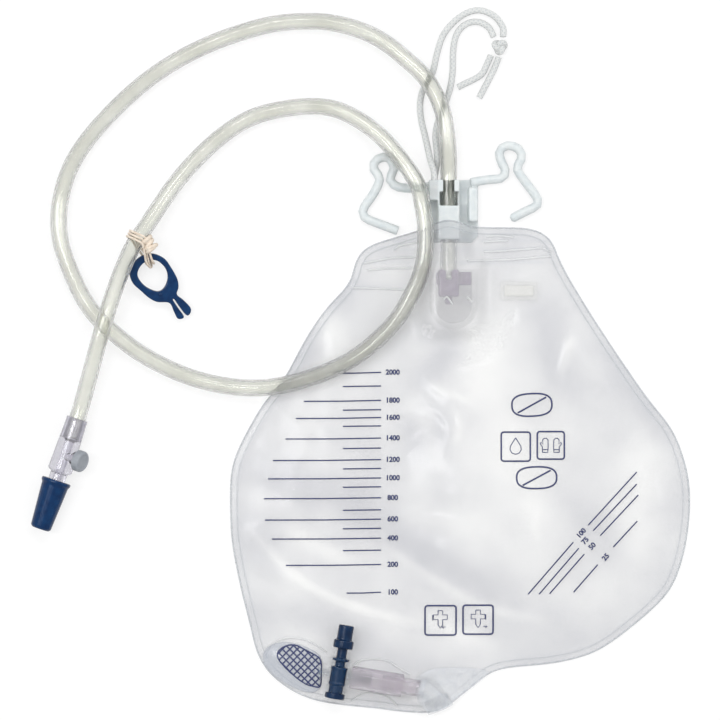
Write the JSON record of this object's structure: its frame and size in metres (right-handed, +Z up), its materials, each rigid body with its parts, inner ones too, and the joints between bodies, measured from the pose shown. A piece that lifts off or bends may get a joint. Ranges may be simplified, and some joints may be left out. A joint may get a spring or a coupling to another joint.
{
  "type": "urine drainage bag",
  "caption": "Clear film drainage bag with a bed-rail hanger, tie string, inlet tube with sampling connector, sheet clip, drip chamber, vent and a folded outlet with a slide tap.",
  "frame": {"origin": "on the floor under the middle of the bag with its hanger, without the tube and string", "axes": "+Z up from the floor, +Y towards the hanger, +X to the right as seen from above"},
  "size_m": [0.3951, 0.4249, 0.0229],
  "materials": {
    "film": "clear soft film",
    "pocket film": "clear soft film",
    "white moulding": "satin",
    "string": "braided",
    "tube vinyl": "clear soft tube",
    "tinted moulding": "translucent",
    "clear moulding": "clear",
    "vent moulding": "satin",
    "vent paper": "matte",
    "grey rubber": "matte",
    "blue moulding": "satin",
    "tan rubber": "matte",
    "frosted vinyl": "frosted",
    "drain vinyl": "clear soft tube"
  },
  "bodies": {
    "bag": {"back_film": "film", "front_film": "film", "outlet_pocket": "pocket film", "hanger": "white moulding", "string_strand_a": "string", "string_strand_b": "string", "string_tail_a": "string", "string_tail_b": "string", "string_knot": "string", "inlet_tube": "tube vinyl", "inlet_fitting": "tinted moulding", "drip_chamber": "clear moulding", "anti_reflux_flap": "pocket film", "vent_housing": "vent moulding", "vent_membrane": "vent paper", "sample_connector": "clear moulding", "sample_septum": "grey rubber", "sheet_clip": "blue moulding", "rubber_band": "tan rubber", "outlet_spout": "frosted vinyl", "drain_tube": "drain vinyl", "drain_sleeve": "drain vinyl", "tap_body": "clear moulding"},
    "plunger": {"tap_plunger": "blue moulding"},
    "cap": {"protective_cap": "blue moulding"}
  },
  "joints": [
    {"name": "valve_slide", "type": "slide", "parent": "bag", "child": "plunger", "axis": [-0.1668, -0.986, 0], "range_m": [0, 0.005]},
    {"name": "cap_pull", "type": "slide", "parent": "bag", "child": "cap", "axis": [-0.319, -0.9478, 0], "range_m": [0, 0.03]}
  ]
}
